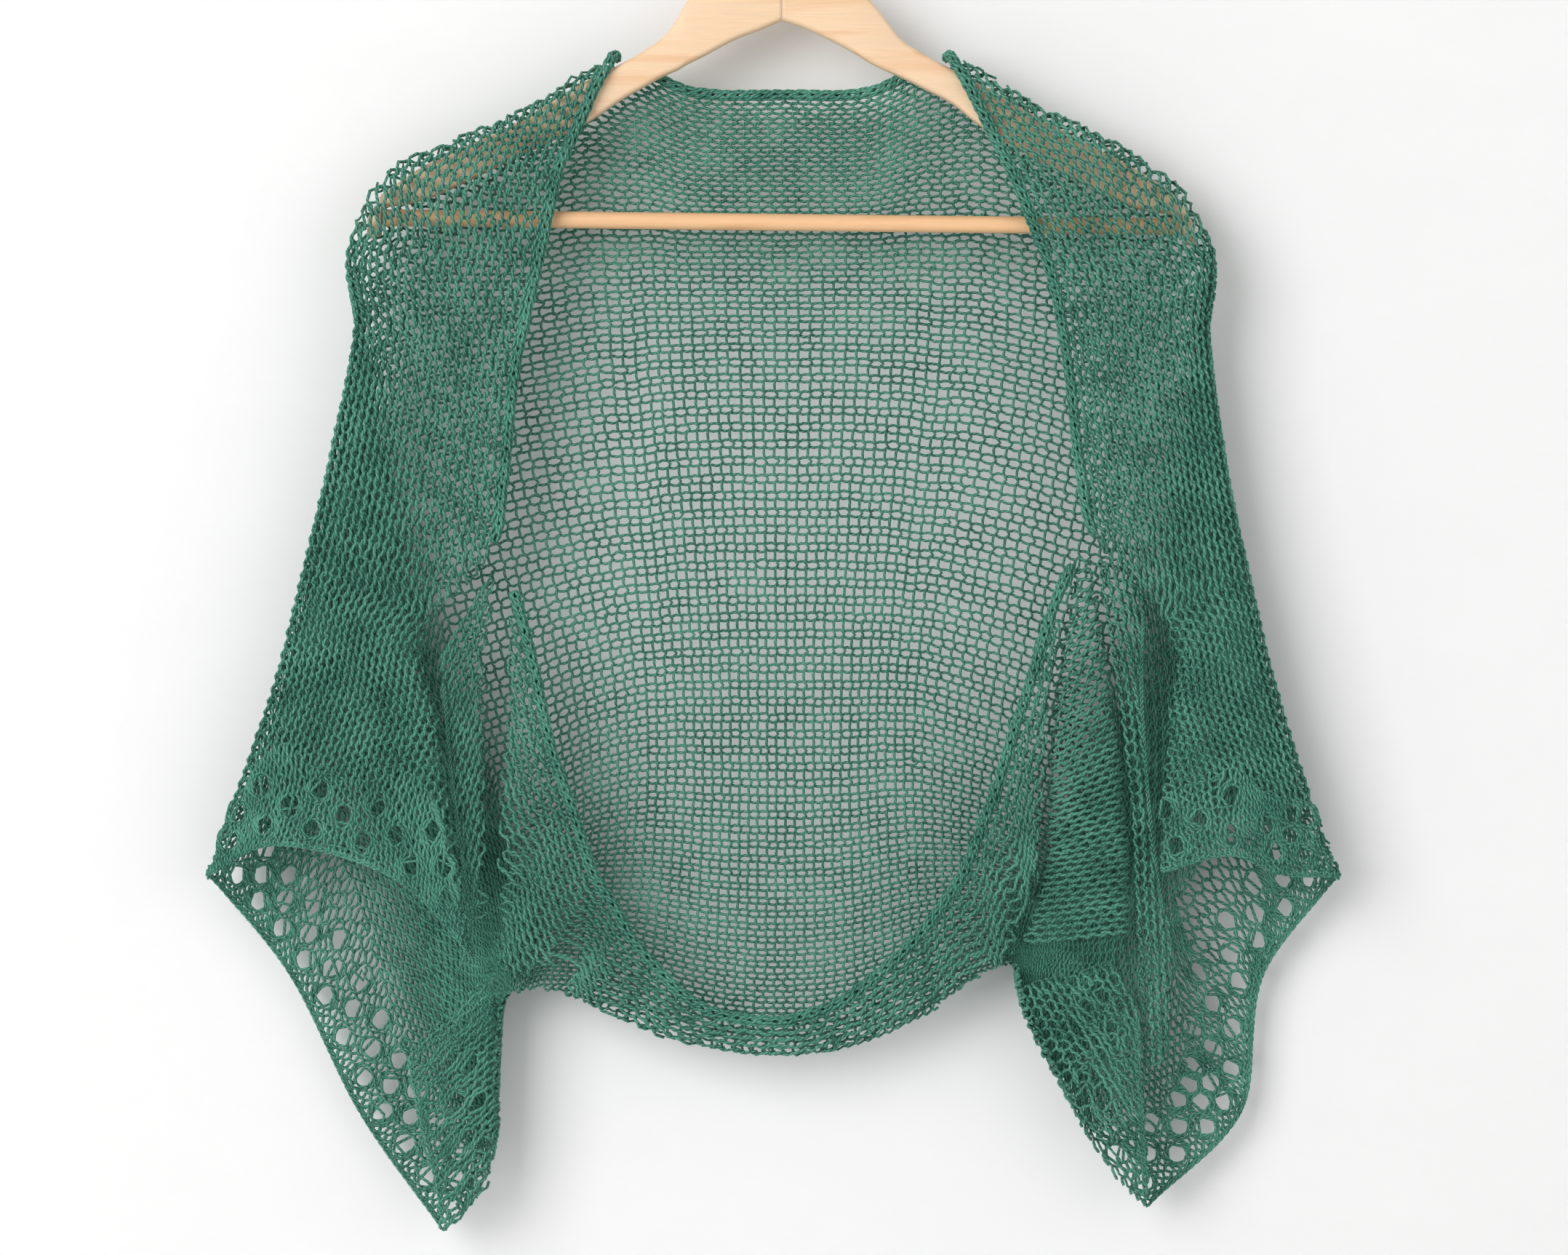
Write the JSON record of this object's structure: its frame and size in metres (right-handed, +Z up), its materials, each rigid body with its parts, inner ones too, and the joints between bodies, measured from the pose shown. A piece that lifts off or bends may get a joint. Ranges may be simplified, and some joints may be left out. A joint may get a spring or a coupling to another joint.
{
  "type": "knitted shrug cardigan on a wooden hanger",
  "caption": "Open-front knitted shrug with wide sleeves, rolled edges and lace cuffs, draped over a wooden hanger with a bar and a wire hook.",
  "frame": {"origin": "seat inside the hanger hook, where the rail holds it", "axes": "+Z up, front of the garment faces -Y, +X to the viewer's right"},
  "size_m": [0.5993, 0.0476, 0.7363],
  "materials": {
    "knit": "plied cotton stockinette, purl side seen on the back's inside",
    "lace_knit": "the same yarn in open eyelet lace",
    "edging": "rolled selvedges, bound-off edges and sewn seams in the same yarn",
    "pine": "clear satin lacquer",
    "hook_steel": "bright plated wire"
  },
  "bodies": {
    "root": {"back_panel": "knit", "back_panel_left": "knit", "back_panel_right": "knit", "back_low": "knit", "back_low_left": "knit", "back_low_right": "knit", "left_front": "knit", "right_front": "knit", "left_sleeve_front": "knit", "right_sleeve_front": "knit", "left_sleeve_back": "knit", "right_sleeve_back": "knit", "left_sleeve_under": "knit", "right_side_panel": "knit", "right_sleeve_fold": "knit", "left_hem_band": "knit", "right_hem_band": "knit", "left_cuff_front": "lace_knit", "left_cuff_back": "lace_knit", "left_cuff_under": "lace_knit", "right_cuff_front": "lace_knit", "right_cuff_back": "lace_knit", "right_cuff_under": "lace_knit", "back_neck_edge": "edging", "left_front_edge": "edging", "right_front_edge": "edging", "hem_edge": "edging", "left_cuff_edge": "edging", "left_cuff_edge_under": "edging", "right_cuff_edge": "edging", "right_cuff_edge_under": "edging", "left_sleeve_seam": "edging", "right_sleeve_seam": "edging", "hanger_arm_left": "pine", "hanger_arm_right": "pine", "hanger_bar": "pine", "hanger_hook": "hook_steel"}
  },
  "joints": []
}
